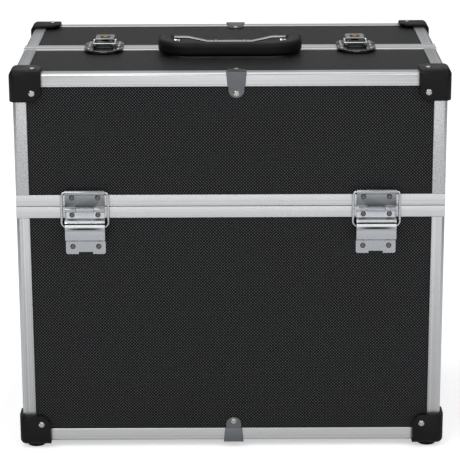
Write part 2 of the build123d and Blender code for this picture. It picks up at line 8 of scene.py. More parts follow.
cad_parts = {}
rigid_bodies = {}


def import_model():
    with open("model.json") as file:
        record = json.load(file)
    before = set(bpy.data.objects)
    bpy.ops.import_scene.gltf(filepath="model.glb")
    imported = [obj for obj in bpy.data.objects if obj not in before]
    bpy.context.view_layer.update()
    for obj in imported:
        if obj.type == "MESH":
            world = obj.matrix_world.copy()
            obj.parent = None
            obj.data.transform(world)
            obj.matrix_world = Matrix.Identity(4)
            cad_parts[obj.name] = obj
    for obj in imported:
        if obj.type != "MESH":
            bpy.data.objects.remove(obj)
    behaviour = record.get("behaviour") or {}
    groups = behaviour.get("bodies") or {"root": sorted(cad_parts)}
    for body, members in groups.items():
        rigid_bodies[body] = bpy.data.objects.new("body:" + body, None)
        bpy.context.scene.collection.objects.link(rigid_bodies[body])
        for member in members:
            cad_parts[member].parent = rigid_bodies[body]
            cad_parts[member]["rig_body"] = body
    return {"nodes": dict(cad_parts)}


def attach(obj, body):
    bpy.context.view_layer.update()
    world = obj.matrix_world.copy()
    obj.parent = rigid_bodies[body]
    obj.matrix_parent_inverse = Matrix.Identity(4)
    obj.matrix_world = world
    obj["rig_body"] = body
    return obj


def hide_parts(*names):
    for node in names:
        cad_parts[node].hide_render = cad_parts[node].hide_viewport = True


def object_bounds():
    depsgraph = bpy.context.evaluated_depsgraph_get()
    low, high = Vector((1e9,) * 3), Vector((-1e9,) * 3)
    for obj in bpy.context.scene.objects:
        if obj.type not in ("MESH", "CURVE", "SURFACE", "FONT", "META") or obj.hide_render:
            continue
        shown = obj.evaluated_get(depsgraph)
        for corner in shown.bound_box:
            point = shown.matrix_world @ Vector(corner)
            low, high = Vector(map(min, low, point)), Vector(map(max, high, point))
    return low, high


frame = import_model()
cad_box = [list(corner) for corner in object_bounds()]

# Panels: plywood faced with embossed ABS sheet, slid into the slots of the frame. The sheet is
# rolled with a fine diamond lattice of raised black dots, half matt, whose glints are a painted
# highlight: the dots are coloured lighter grey. Sizes here and below are in millimetres.
MM = 0.001
LATTICE_PITCH = 2.8
DOT_FOOT, DOT_CROWN = 0.3, 1.6  # the lattice's height where a dot starts and where it is full
DOT_RISE = 0.22
SHEET_GRAIN = 1000 / 1400  # drawn coarser than it is, so that it shows
GRAIN_SHARE = 0.12
BLOTCH_SIZE = 1000 / 9  # nine to the metre
SHEET_ROUGHNESS = 0.5
SHEET_SPECULAR = 0.12
PANEL_BLACK = "#070708"
DOT_PAINTED_GLINT = "#525355"
PANEL_WEAR = "#0E0F10"


def linear(hex_colour):
    """An sRGB hex colour as the linear RGBA that a shader reads."""
    parts = [int(hex_colour[i:i + 2], 16) / 255 for i in (1, 3, 5)]
    return [c / 12.92 if c <= 0.04045 else ((c + 0.055) / 1.055) ** 2.4 for c in parts] + [1.0]


def add_node(tree, kind, settings=None, links=None):
    """Adds a node, sets its properties, and fills or links its inputs."""
    node = tree.nodes.new(kind)
    for key, value in (settings or {}).items():
        setattr(node, key, value)
    for key, value in (links or {}).items():
        if isinstance(value, bpy.types.NodeSocket):
            tree.links.new(value, node.inputs[key])
        else:
            node.inputs[key].default_value = value
    return node


def finish(name, colour, metallic, roughness):
    """A material with its shader's plain values set, to which a section adds its pattern."""
    material = bpy.data.materials.new(name)
    material.use_nodes = True
    tree = material.node_tree
    shader = tree.nodes["Principled BSDF"]
    shader.inputs["Base Color"].default_value = linear(colour)
    shader.inputs["Metallic"].default_value = metallic
    shader.inputs["Roughness"].default_value = roughness
    return material, tree, shader


def embossed_sheet(name, across, up):
    """Embossed ABS sheet whose lattice lies in the plane of two of the object's axes."""
    material, tree, shader = finish(name, PANEL_BLACK, 0.0, SHEET_ROUGHNESS)
    shader.inputs["Specular IOR Level"].default_value = SHEET_SPECULAR
    place = add_node(tree, "ShaderNodeTexCoord")
    axes = add_node(tree, "ShaderNodeSeparateXYZ", None, {"Vector": place.outputs["Object"]})
    turns = 2 * math.pi / (LATTICE_PITCH * MM)
    waves = []
    for operation in ("ADD", "SUBTRACT"):
        diagonal = add_node(tree, "ShaderNodeMath", {"operation": operation},
                            {0: axes.outputs[across], 1: axes.outputs[up]})
        phase = add_node(tree, "ShaderNodeMath", {"operation": "MULTIPLY"},
                         {0: diagonal.outputs[0], 1: turns})
        wave = add_node(tree, "ShaderNodeMath", {"operation": "COSINE"}, {0: phase.outputs[0]})
        waves.append(wave.outputs[0])
    lattice = add_node(tree, "ShaderNodeMath", {"operation": "ADD"}, {0: waves[0], 1: waves[1]})
    dots = add_node(tree, "ShaderNodeMapRange", {"interpolation_type": "SMOOTHSTEP"},
                    {"Value": lattice.outputs[0], "From Min": DOT_FOOT, "From Max": DOT_CROWN})
    blotches = add_node(tree, "ShaderNodeTexNoise", None,
                        {"Vector": place.outputs["Object"], "Scale": 1 / (BLOTCH_SIZE * MM),
                         "Detail": 3.0})
    ground = add_node(tree, "ShaderNodeMix", {"data_type": "RGBA"},
                      {0: blotches.outputs["Fac"], 6: linear(PANEL_BLACK), 7: linear(PANEL_WEAR)})
    # Painted highlight: the raised dots are coloured lighter grey.
    colour = add_node(tree, "ShaderNodeMix", {"data_type": "RGBA"},
                      {0: dots.outputs[0], 6: ground.outputs[2], 7: linear(DOT_PAINTED_GLINT)})
    tree.links.new(colour.outputs[2], shader.inputs["Base Color"])
    grain = add_node(tree, "ShaderNodeTexNoise", None,
                     {"Vector": place.outputs["Object"], "Scale": 1 / (SHEET_GRAIN * MM),
                      "Detail": 2.0})
    relief = add_node(tree, "ShaderNodeMath", {"operation": "MULTIPLY_ADD"},
                      {0: grain.outputs["Fac"], 1: GRAIN_SHARE, 2: dots.outputs[0]})
    bump = add_node(tree, "ShaderNodeBump", None,
                    {"Height": relief.outputs[0], "Distance": DOT_RISE * MM, "Strength": 0.9})
    tree.links.new(bump.outputs["Normal"], shader.inputs["Normal"])
    return material


def dress(node, material):
    """Gives a piece of the frame its finish."""
    for place in frame["nodes"][node].material_slots:
        place.material = material


face_sheet = embossed_sheet("embossed_ABS_faces", "X", "Z")
side_sheet = embossed_sheet("embossed_ABS_sides", "Y", "Z")
level_sheet = embossed_sheet("embossed_ABS_level", "X", "Y")
for node in ("body_front_panel", "body_back_panel", "front_lid_face_panel", "rear_lid_face_panel"):
    dress(node, face_sheet)
for node in ("body_left_panel", "body_right_panel", "front_lid_side_panels",
             "rear_lid_side_panels"):
    dress(node, side_sheet)
for node in ("body_bottom_panel", "front_lid_top_panel", "rear_lid_top_panel"):
    dress(node, level_sheet)


# Frame: extruded aluminium lengths with a slot for each panel, cut to length, etched and
# anodised in their natural colour. The etch leaves an even satin face with faint die lines. The
# lengths from side to side are painted brighter, a painted sheen. The rims are painted dark
# under the latches, a painted shade, as the latches' windows are dark in the photograph.
ALUMINIUM = "#C3C4C6"
DRAWN_GREYS = ("#B8B9BB", "#D0D1D3")
# Painted sheen: brighter greys for the lengths from side to side.
SHEEN_PAINTED_GREYS = ("#CDCED0", "#E0E1E2")  # the lengths from side to side, brighter in the photograph
# Painted shade on the rims under the latches.
PAINTED_LATCH_SHADE = "#241F1A"
EXTRUSION_EASE = 0.15
LINE_PITCH = 1.5  # this and the etch are drawn coarser than they are, so that they show
LINE_SHARE = 6.0  # how much deeper the die lines are than the etch
ETCH_SIZE = 1000 / 900
ETCH_DEPTH = 0.01
LATCH_REACH = 116.0
RIM_TOP = 348.5
DARK_ASIDE = (10.5, 12.5)  # half the width of a dark patch, and where it has faded out
DARK_ALONG = (12.0, 14.0)
DARK_BELOW = (1.0, 3.0)
WELD = 0.002
FLAT_ANGLE = 0.6  # degrees, as the other angles
EDGE_ANGLE = 32
SMOOTH_ANGLE = 38


def softened(node, name, ease, material, smooth_angle=SMOOTH_ANGLE):
    """A copy of a piece of the frame with its sharp edges rounded, which stands for it."""
    mesh = frame["nodes"][node].data.copy()
    mesh.name = name
    solid = bmesh.new()
    solid.from_mesh(mesh)
    bmesh.ops.remove_doubles(solid, verts=solid.verts, dist=WELD * MM)
    bmesh.ops.dissolve_limit(solid, angle_limit=math.radians(FLAT_ANGLE), verts=solid.verts,
                             edges=solid.edges)
    solid.to_mesh(mesh)
    solid.free()
    rough = bpy.data.objects.new(name + "_rough", mesh)
    bpy.context.scene.collection.objects.link(rough)
    bevel = rough.modifiers.new("ease", "BEVEL")
    bevel.width = ease * MM
    bevel.segments = 2
    bevel.limit_method = "ANGLE"
    bevel.angle_limit = math.radians(EDGE_ANGLE)
    bevel.miter_outer = "MITER_ARC"
    bpy.context.view_layer.update()
    shaped = rough.evaluated_get(bpy.context.evaluated_depsgraph_get())
    final = bpy.data.meshes.new_from_object(shaped)
    bpy.data.objects.remove(rough)
    return stand_for(node, name, final, material, smooth_angle)


def stand_for(node, name, mesh, material, smooth_angle=SMOOTH_ANGLE):
    """Puts a finished mesh in the scene in place of a node, on the same body."""
    piece = bpy.data.objects.new(name, mesh)
    bpy.context.scene.collection.objects.link(piece)
    mesh.materials.clear()
    mesh.materials.append(material)
    mesh.shade_smooth()
    mesh.set_sharp_from_angle(angle=math.radians(smooth_angle))
    original = frame["nodes"][node]
    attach(piece, original["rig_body"])
    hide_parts(node)
    return piece


def islands(mesh):
    """The vertices of each separate solid of a mesh."""
    solid = bmesh.new()
    solid.from_mesh(mesh)
    solid.verts.ensure_lookup_table()
    left = set(range(len(solid.verts)))
    groups = []
    while left:
        found, edge = [], [left.pop()]
        while edge:
            index = edge.pop()
            found.append(index)
            near = {link.other_vert(solid.verts[index]).index
                    for link in solid.verts[index].link_edges} & left
            left -= near
            edge += near
        groups.append(found)
    solid.free()
    return groups


def lay_runs(mesh):
    """Marks each length with its cross directions: 1 across the length and 0 along it."""
    run = mesh.attributes.new("run", "FLOAT_VECTOR", "POINT")
    for group in islands(mesh):
        spans = [max(mesh.vertices[v].co[i] for v in group)
                 - min(mesh.vertices[v].co[i] for v in group) for i in range(3)]
        long = spans.index(max(spans))
        for v in group:
            run.data[v].vector = [0.0 if i == long else 1.0 for i in range(3)]


def apart(tree, value, place):
    """How far a coordinate is from a place, on either side."""
    off = add_node(tree, "ShaderNodeMath", {"operation": "SUBTRACT"}, {0: value, 1: place * MM})
    size = add_node(tree, "ShaderNodeMath", {"operation": "ABSOLUTE"}, {0: off.outputs[0]})
    return size.outputs[0]


def fade(tree, value, full, none):
    """Runs smoothly from 1 where a coordinate is full to 0 where it is none."""
    faded = add_node(tree, "ShaderNodeMapRange", {"interpolation_type": "SMOOTHSTEP"},
                     {"Value": value, "From Min": full * MM, "From Max": none * MM,
                      "To Min": 1.0, "To Max": 0.0})
    return faded.outputs[0]


anodised, tree, shader = finish("anodised_aluminium", ALUMINIUM, metallic=1.0, roughness=0.36)
place = add_node(tree, "ShaderNodeTexCoord")
etch = add_node(tree, "ShaderNodeTexNoise", None,
                {"Vector": place.outputs["Object"], "Scale": 1 / (ETCH_SIZE * MM), "Detail": 3.0})
run = add_node(tree, "ShaderNodeAttribute", {"attribute_name": "run"})
across = add_node(tree, "ShaderNodeVectorMath", {"operation": "MULTIPLY"},
                  {0: place.outputs["Object"], 1: run.outputs["Vector"]})
lines = add_node(tree, "ShaderNodeTexNoise", None,
                 {"Vector": across.outputs[0], "Scale": 1 / (LINE_PITCH * MM), "Detail": 1.0})
tint = add_node(tree, "ShaderNodeMapRange", None,
                {"Value": lines.outputs["Fac"], "From Min": 0.35, "From Max": 0.65})
drawn, painted_sheen = [add_node(tree, "ShaderNodeMix", {"data_type": "RGBA"},
                          {0: tint.outputs[0], 6: linear(dark), 7: linear(light)})
                 for dark, light in (DRAWN_GREYS, SHEEN_PAINTED_GREYS)]
way = add_node(tree, "ShaderNodeSeparateXYZ", None, {"Vector": run.outputs["Vector"]})
# Painted sheen: the lengths from side to side take the brighter greys.
colour = add_node(tree, "ShaderNodeMix", {"data_type": "RGBA"},
                  {0: way.outputs["X"], 6: painted_sheen.outputs[2], 7: drawn.outputs[2]})
axes = add_node(tree, "ShaderNodeSeparateXYZ", None, {"Vector": place.outputs["Object"]})
from_middle = apart(tree, axes.outputs["X"], 0.0)
beside = fade(tree, apart(tree, from_middle, LATCH_REACH), *DARK_ASIDE)
along = fade(tree, apart(tree, axes.outputs["Y"], 0.0), *DARK_ALONG)
on_top = fade(tree, axes.outputs["Z"], RIM_TOP - DARK_BELOW[0], RIM_TOP - DARK_BELOW[1])
patch = add_node(tree, "ShaderNodeMath", {"operation": "MULTIPLY"}, {0: beside, 1: on_top})
under = add_node(tree, "ShaderNodeMath", {"operation": "MULTIPLY"},
                 {0: patch.outputs[0], 1: along})
# Painted shade: the rims turn dark under the latches.
darkened = add_node(tree, "ShaderNodeMix", {"data_type": "RGBA"},
                    {0: under.outputs[0], 6: colour.outputs[2], 7: linear(PAINTED_LATCH_SHADE)})
tree.links.new(darkened.outputs[2], shader.inputs["Base Color"])
relief = add_node(tree, "ShaderNodeMath", {"operation": "MULTIPLY_ADD"},
                  {0: lines.outputs["Fac"], 1: LINE_SHARE, 2: etch.outputs["Fac"]})
bump = add_node(tree, "ShaderNodeBump", None,
                {"Height": relief.outputs[0], "Distance": ETCH_DEPTH * MM, "Strength": 0.6})
tree.links.new(bump.outputs["Normal"], shader.inputs["Normal"])
for node in ("body_corner_posts", "body_base_rails", "body_rim", "front_lid_edge_rails",
             "rear_lid_edge_rails", "front_lid_rims", "rear_lid_rims"):
    piece = softened(node, node + "_extruded", EXTRUSION_EASE, anodised)
    lay_runs(piece.data)


# Corner caps and feet: injection moulded black polypropylene, riveted over the corners. The
# mould gives a fine even grain, and every edge is well rounded.
CAP_BLACK = "#070708"
CAP_EASE = 0.9
CAP_GRAIN = (0.8, 0.05)  # size and depth, drawn coarser than it is
SCUFF_SIZE = 1000 / 60
SCUFF_SHEEN = (-0.08, 0.1)
PLASTIC_SPECULAR = 0.22


def moulded(name, colour, roughness, grain_size, grain_depth):
    """Moulded plastic with the grain of its mould, under scuffs that change its sheen."""
    material, tree, shader = finish(name, colour, 0.0, roughness)
    shader.inputs["Specular IOR Level"].default_value = PLASTIC_SPECULAR
    place = add_node(tree, "ShaderNodeTexCoord")
    grain = add_node(tree, "ShaderNodeTexNoise", None,
                     {"Vector": place.outputs["Object"], "Scale": 1 / (grain_size * MM),
                      "Detail": 2.0})
    scuffs = add_node(tree, "ShaderNodeTexNoise", None,
                      {"Vector": place.outputs["Object"], "Scale": 1 / (SCUFF_SIZE * MM),
                       "Detail": 5.0})
    shine = add_node(tree, "ShaderNodeMapRange", None,
                     {"Value": scuffs.outputs["Fac"], "From Min": 0.3, "From Max": 0.7,
                      "To Min": roughness + SCUFF_SHEEN[0],
                      "To Max": roughness + SCUFF_SHEEN[1]})
    tree.links.new(shine.outputs[0], shader.inputs["Roughness"])
    bump = add_node(tree, "ShaderNodeBump", None,
                    {"Height": grain.outputs["Fac"], "Distance": grain_depth * MM,
                     "Strength": 0.6})
    tree.links.new(bump.outputs["Normal"], shader.inputs["Normal"])
    return material


cap_plastic = moulded("moulded_polypropylene", CAP_BLACK, 0.42, *CAP_GRAIN)
for node in ("foot_cap_front_left", "foot_cap_front_right", "foot_cap_back_left",
             "foot_cap_back_right", "front_lid_corner_caps", "rear_lid_corner_caps"):
    softened(node, node + "_moulded", CAP_EASE, cap_plastic)


# Edge clips: pressed from mild steel strip, zinc plated and riveted over the frame's edges. The
# plate is a dull cool grey with a faint spangle, and the press leaves rounded edges.
CLIP_ZINC = "#727579"
PRESS_EASE = 0.28
SPANGLE_SHEEN = 0.05
SPANGLE_DEPTH = 0.02


def plated(name, colour, roughness, spangle):
    """Plated steel whose roughness wanders over a spangle of that size."""
    material, tree, shader = finish(name, colour, 1.0, roughness)
    place = add_node(tree, "ShaderNodeTexCoord")
    cloud = add_node(tree, "ShaderNodeTexNoise", None,
                     {"Vector": place.outputs["Object"], "Scale": 1 / (spangle * MM),
                      "Detail": 4.0})
    shine = add_node(tree, "ShaderNodeMapRange", None,
                     {"Value": cloud.outputs["Fac"], "From Min": 0.3, "From Max": 0.7,
                      "To Min": roughness - SPANGLE_SHEEN, "To Max": roughness + SPANGLE_SHEEN})
    tree.links.new(shine.outputs[0], shader.inputs["Roughness"])
    bump = add_node(tree, "ShaderNodeBump", None,
                    {"Height": cloud.outputs["Fac"], "Distance": SPANGLE_DEPTH * MM,
                     "Strength": 0.06})
    tree.links.new(bump.outputs["Normal"], shader.inputs["Normal"])
    return material


clip_zinc = plated("zinc_plated_clip", CLIP_ZINC, roughness=0.34, spangle=4.0)
for node in ("base_clips", "front_lid_clip", "rear_lid_clip"):
    softened(node, node + "_pressed", PRESS_EASE, clip_zinc)


# Hinge leaves: pressed from steel strip and zinc plated, with a groove along the lower leaf's
# cover and a shallow scoop below it. The ridges and the knuckle's top carry painted highlights,
# the groove, the scoop and the upper leaf, darker towards its foot, painted shade, in tones set
# against the photograph.
ZINC = "#BBBFC4"
ZINC_PAINTED_SHADE = "#2E3033"
ZINC_PAINTED_HIGHLIGHT = "#F2F3F4"
SEAM_HEIGHT = 228.5
CASE_HALF_DEPTH = 120.0
LEAF_HALF = 17.7
COVER_SPAN = (11.4, 22.6)  # this and every drop below it are distances below the seam
COVER_SKIN = 6.3
RIDGE_RISE = 0.75
RIDGE_FOOT = 19.8
GROOVE_DROP, GROOVE_WIDTH, GROOVE_DEPTH = 14.1, 0.6, 1.0
SCOOP_DROP, SCOOP_WIDTH, SCOOP_DEPTH = 18.7, 0.95, 1.0
SCOOP_SHADE = 1.4
COVER_ROWS, COVER_COLUMNS = 36, 14
# Painted light by height below the seam: painted highlights on the knuckle's top and the cover's
# two ridges, painted shade in the groove and over the upper leaf, darker towards its foot.
PAINTED_LIGHT_SPAN = (-12.0, 24.0)
PAINTED_LIGHT_BANDS = ((-11.0, "#A9ADB1"), (-7.5, "#8C9093"), (-3.0, "#707377"), (-0.4, "#686B6E"),
        (0.3, "#E2E4E6"), (1.0, "#A9ADB1"), (4.6, ZINC), (10.6, ZINC),
        (11.4, ZINC_PAINTED_HIGHLIGHT), (13.0, ZINC_PAINTED_HIGHLIGHT), (13.5, ZINC_PAINTED_SHADE), (14.6, ZINC_PAINTED_SHADE),
        (15.1, ZINC_PAINTED_HIGHLIGHT), (16.9, ZINC_PAINTED_HIGHLIGHT), (17.6, ZINC))
zinc = plated("zinc_plated_steel", ZINC, roughness=0.3, spangle=6.0)
tree = zinc.node_tree
place = add_node(tree, "ShaderNodeTexCoord")
axes = add_node(tree, "ShaderNodeSeparateXYZ", None, {"Vector": place.outputs["Object"]})
drop = add_node(tree, "ShaderNodeMapRange", None,
                {"Value": axes.outputs["Z"], "From Min": (SEAM_HEIGHT - PAINTED_LIGHT_SPAN[0]) * MM,
                 "From Max": (SEAM_HEIGHT - PAINTED_LIGHT_SPAN[1]) * MM})
painted_bands = add_node(tree, "ShaderNodeValToRGB", None, {"Fac": drop.outputs[0]})
stops = painted_bands.color_ramp.elements
for index, (below, shade) in enumerate(PAINTED_LIGHT_BANDS):
    share = (below - PAINTED_LIGHT_SPAN[0]) / (PAINTED_LIGHT_SPAN[1] - PAINTED_LIGHT_SPAN[0])
    stop = stops[index] if index < 2 else stops.new(share)
    stop.position = share
    stop.color = linear(shade)
# Painted shadow: the scoop under the ridge takes the shaded zinc.
scoop = add_node(tree, "ShaderNodeAttribute", {"attribute_name": "scoop"})
colour = add_node(tree, "ShaderNodeMix", {"data_type": "RGBA"},
                  {0: scoop.outputs["Fac"], 6: painted_bands.outputs["Color"], 7: linear(ZINC_PAINTED_SHADE)})
tree.links.new(colour.outputs[2], tree.nodes["Principled BSDF"].inputs["Base Color"])


def press_cover(piece):
    """Presses the groove and the scoop into a lower leaf's cover, and marks the scoop for its
    painted shadow.
    """
    solid = bmesh.new()
    solid.from_mesh(piece.data)
    middle = sum(v.co.x for v in solid.verts) / len(solid.verts)
    low, high = COVER_SPAN
    rows = [SEAM_HEIGHT - low - (high - low) * i / COVER_ROWS for i in range(COVER_ROWS + 1)]
    cuts = [(Vector((0, 0, row * MM)), Vector((0, 0, 1))) for row in rows]
    columns = [LEAF_HALF * (2 * i / COVER_COLUMNS - 1) for i in range(1, COVER_COLUMNS)]
    cuts += [(Vector((middle + column * MM, 0, 0)), Vector((1, 0, 0))) for column in columns]
    for place, normal in cuts:
        bmesh.ops.bisect_plane(solid, geom=solid.verts[:] + solid.edges[:] + solid.faces[:],
                               plane_co=place, plane_no=normal)
    scooped = solid.verts.layers.float.new("scoop")
    for vert in solid.verts:
        drop = SEAM_HEIGHT - vert.co.z / MM
        proud = abs(vert.co.y) / MM - CASE_HALF_DEPTH
        skin = COVER_SKIN + (RIDGE_RISE if drop < RIDGE_FOOT else 0.0)
        if not low < drop < high or proud < skin:
            continue
        aside = min(1.0, abs(vert.co.x - middle) / MM / LEAF_HALF)
        hollow = (1 - aside ** 2) * math.exp(-((drop - SCOOP_DROP) / SCOOP_WIDTH) ** 2)
        sunk = GROOVE_DEPTH * math.exp(-((drop - GROOVE_DROP) / GROOVE_WIDTH) ** 2)
        sunk += SCOOP_DEPTH * hollow
        # The scoop's share of painted shadow.
        vert[scooped] = min(1.0, SCOOP_SHADE * hollow)
        vert.co.y -= math.copysign(sunk * MM, vert.co.y)
    solid.to_mesh(piece.data)
    solid.free()


for end in ("front", "rear"):
    for side in ("left", "right"):
        for leaf in ("upper", "lower"):
            node = f"hinge_leaf_{leaf}_{end}_{side}"
            piece = softened(node, node + "_pressed", PRESS_EASE, zinc)
            if leaf == "lower":
                press_cover(piece)


# Stay rings and hinge pins: drawn steel wire and rod, nickel plated bright. The rings are bent
# to a rectangle and stop the lids.
NICKEL = "#C3C6C9"
WIRE_EASE = 0.05
PIN_EASE = 0.15
WIRE_SMOOTH = 60
nickel = plated("nickel_plated_wire", NICKEL, roughness=0.18, spangle=7.0)
for end in ("front", "rear"):
    softened(f"hinge_pins_{end}", f"hinge_pins_{end}_turned", PIN_EASE, nickel)
    for side in ("left", "right"):
        node = f"stay_ring_{end}_{side}"
        softened(node, node + "_bent", WIRE_EASE, nickel, WIRE_SMOOTH)


# Foam lining: thin closed-cell EVA sheet glued inside the body and the lids, charcoal, with
# fine pores.
FOAM_GREY = "#2B2C2E"
FOAM_CELLS = ("#202123", "#343538")
PORE_SIZE = 1.2
PORE_DEPTH = 0.15
foam, tree, shader = finish("EVA_foam", FOAM_GREY, metallic=0.0, roughness=0.92)
place = add_node(tree, "ShaderNodeTexCoord")
pores = add_node(tree, "ShaderNodeTexVoronoi", None,
                 {"Vector": place.outputs["Object"], "Scale": 1 / (PORE_SIZE * MM)})
tint = add_node(tree, "ShaderNodeMix", {"data_type": "RGBA"},
                {0: pores.outputs["Distance"], 6: linear(FOAM_CELLS[0]),
                 7: linear(FOAM_CELLS[1])})
tree.links.new(tint.outputs[2], shader.inputs["Base Color"])
bump = add_node(tree, "ShaderNodeBump", None,
                {"Height": pores.outputs["Distance"], "Distance": PORE_DEPTH * MM,
                 "Strength": 0.5})
tree.links.new(bump.outputs["Normal"], shader.inputs["Normal"])
for node in ("body_lining", "front_lid_lining", "rear_lid_lining"):
    dress(node, foam)


# Rivets: steel, domed and nickel plated, with a shallow dimple where the tool closed them and a
# low collar that beds on the part below. They are set where the frame's own rivets are, and the
# small ones of the hinges, out on the front and the back, are coloured dark as a painted
# reflection.
RIVET_NICKEL = "#B9B9B4"
RIVET_PAINTED_DARK = "#6C6864"
COLLAR_HEIGHT, DOME_SHARE, DIMPLE_DEPTH = 0.18, 0.82, 0.16  # shares of the head's height
DIMPLE_SHARE = 0.3
COLLAR_FOOT = -0.02
HEAD_SEGMENTS, HEAD_RINGS = 28, 18
HINGE_RIVET = 2.6  # heads of a smaller radius are the hinges' own
FACE_REACH = 117.0
HEAD_SMOOTH = 50
rivet_nickel = plated("nickel_plated_rivets", RIVET_NICKEL, roughness=0.2, spangle=2.0)
rivet_painted_dark = plated("hinge_rivets_painted_dark", RIVET_PAINTED_DARK, roughness=0.16, spangle=2.0)


def rivet_tree():
    """Geometry Nodes: a domed rivet head on every point, turned to its normal."""
    group = bpy.data.node_groups.new("rivet_heads", "GeometryNodeTree")
    face = group.interface
    face.new_socket("Points", in_out="INPUT", socket_type="NodeSocketGeometry")
    for name, value in (("Collar height", COLLAR_HEIGHT), ("Dome share", DOME_SHARE),
                        ("Dimple depth", DIMPLE_DEPTH)):
        made = face.new_socket(name, in_out="INPUT", socket_type="NodeSocketFloat")
        made.default_value = value
    face.new_socket("Finish", in_out="INPUT", socket_type="NodeSocketMaterial")
    face.new_socket("Heads", in_out="OUTPUT", socket_type="NodeSocketGeometry")
    given = add_node(group, "NodeGroupInput")
    ball = add_node(group, "GeometryNodeMeshUVSphere", None,
                    {"Segments": HEAD_SEGMENTS, "Rings": HEAD_RINGS, "Radius": 1.0})
    spot = add_node(group, "GeometryNodeInputPosition")
    axes = add_node(group, "ShaderNodeSeparateXYZ", None, {0: spot.outputs[0]})
    flat = add_node(group, "ShaderNodeMath", {"operation": "MULTIPLY"},
                    {0: axes.outputs["X"], 1: axes.outputs["X"]})
    away = add_node(group, "ShaderNodeMath", {"operation": "MULTIPLY_ADD"},
                    {0: axes.outputs["Y"], 1: axes.outputs["Y"], 2: flat.outputs[0]})
    dimple = add_node(group, "ShaderNodeMapRange", {"interpolation_type": "SMOOTHSTEP"},
                      {"Value": away.outputs[0], "From Min": 0.0, "From Max": DIMPLE_SHARE ** 2,
                       "To Min": 1.0, "To Max": 0.0})
    sink = add_node(group, "ShaderNodeMath", {"operation": "MULTIPLY"},
                    {0: dimple.outputs[0], 1: given.outputs["Dimple depth"]})
    dome = add_node(group, "ShaderNodeMath", {"operation": "MAXIMUM"},
                    {0: axes.outputs["Z"], 1: 0.0})
    high = add_node(group, "ShaderNodeMath", {"operation": "MULTIPLY"},
                    {0: dome.outputs[0], 1: given.outputs["Dome share"]})
    above = add_node(group, "ShaderNodeMath", {"operation": "GREATER_THAN"},
                     {0: axes.outputs["Z"], 1: COLLAR_FOOT})
    collar = add_node(group, "ShaderNodeMath", {"operation": "MULTIPLY"},
                      {0: above.outputs[0], 1: given.outputs["Collar height"]})
    raised = add_node(group, "ShaderNodeMath", {"operation": "ADD"},
                      {0: high.outputs[0], 1: collar.outputs[0]})
    sunk = add_node(group, "ShaderNodeMath", {"operation": "SUBTRACT"},
                    {0: raised.outputs[0], 1: sink.outputs[0]})
    level = add_node(group, "ShaderNodeMath", {"operation": "MAXIMUM"},
                     {0: sunk.outputs[0], 1: 0.0})
    moved = add_node(group, "ShaderNodeCombineXYZ", None,
                     {"X": axes.outputs["X"], "Y": axes.outputs["Y"], "Z": level.outputs[0]})
    head = add_node(group, "GeometryNodeSetPosition", None,
                    {"Geometry": ball.outputs["Mesh"], "Position": moved.outputs[0]})
    size = add_node(group, "GeometryNodeInputNamedAttribute", {"data_type": "FLOAT_VECTOR"},
                    {"Name": "size"})
    normal = add_node(group, "GeometryNodeInputNamedAttribute", {"data_type": "FLOAT_VECTOR"},
                      {"Name": "outward"})
    turn = add_node(group, "FunctionNodeAlignRotationToVector", {"axis": "Z"},
                    {"Vector": normal.outputs["Attribute"]})
    heads = add_node(group, "GeometryNodeInstanceOnPoints", None,
                     {"Points": given.outputs["Points"], "Instance": head.outputs["Geometry"],
                      "Rotation": turn.outputs["Rotation"], "Scale": size.outputs["Attribute"]})
    real = add_node(group, "GeometryNodeRealizeInstances", None,
                    {"Geometry": heads.outputs["Instances"]})
    named = add_node(group, "GeometryNodeSetMaterial", None,
                     {"Geometry": real.outputs["Geometry"], "Material": given.outputs["Finish"]})
    result = add_node(group, "NodeGroupOutput")
    group.links.new(named.outputs["Geometry"], result.inputs["Heads"])
    return group


def rivet_seats(node):
    """Each rivet of a node as its seat, its outward direction, its radius and its height."""
    solid = bmesh.new()
    solid.from_mesh(frame["nodes"][node].data)
    bmesh.ops.remove_doubles(solid, verts=solid.verts, dist=WELD * MM)
    middle = sum((Vector(c) for c in cad_box), Vector()) / 2
    left = set(solid.verts)
    seats = []
    while left:
        found, edge = set(), [left.pop()]
        while edge:
            vert = edge.pop()
            found.add(vert)
            near = [link.other_vert(vert) for link in vert.link_edges]
            edge += [v for v in near if v in left]
            left.difference_update(near)
        low = Vector([min(v.co[i] for v in found) for i in range(3)])
        high = Vector([max(v.co[i] for v in found) for i in range(3)])
        span = high - low
        axis = min(range(3), key=lambda i: span[i])
        out = 1.0 if (low + high)[axis] / 2 > middle[axis] else -1.0
        seat = (low + high) / 2
        seat[axis] = low[axis] if out > 0 else high[axis]
        normal = Vector([out if i == axis else 0.0 for i in range(3)])
        seats.append((seat, normal, max(span) / 2, span[axis]))
    solid.free()
    return sorted(seats, key=lambda s: tuple(s[0]))


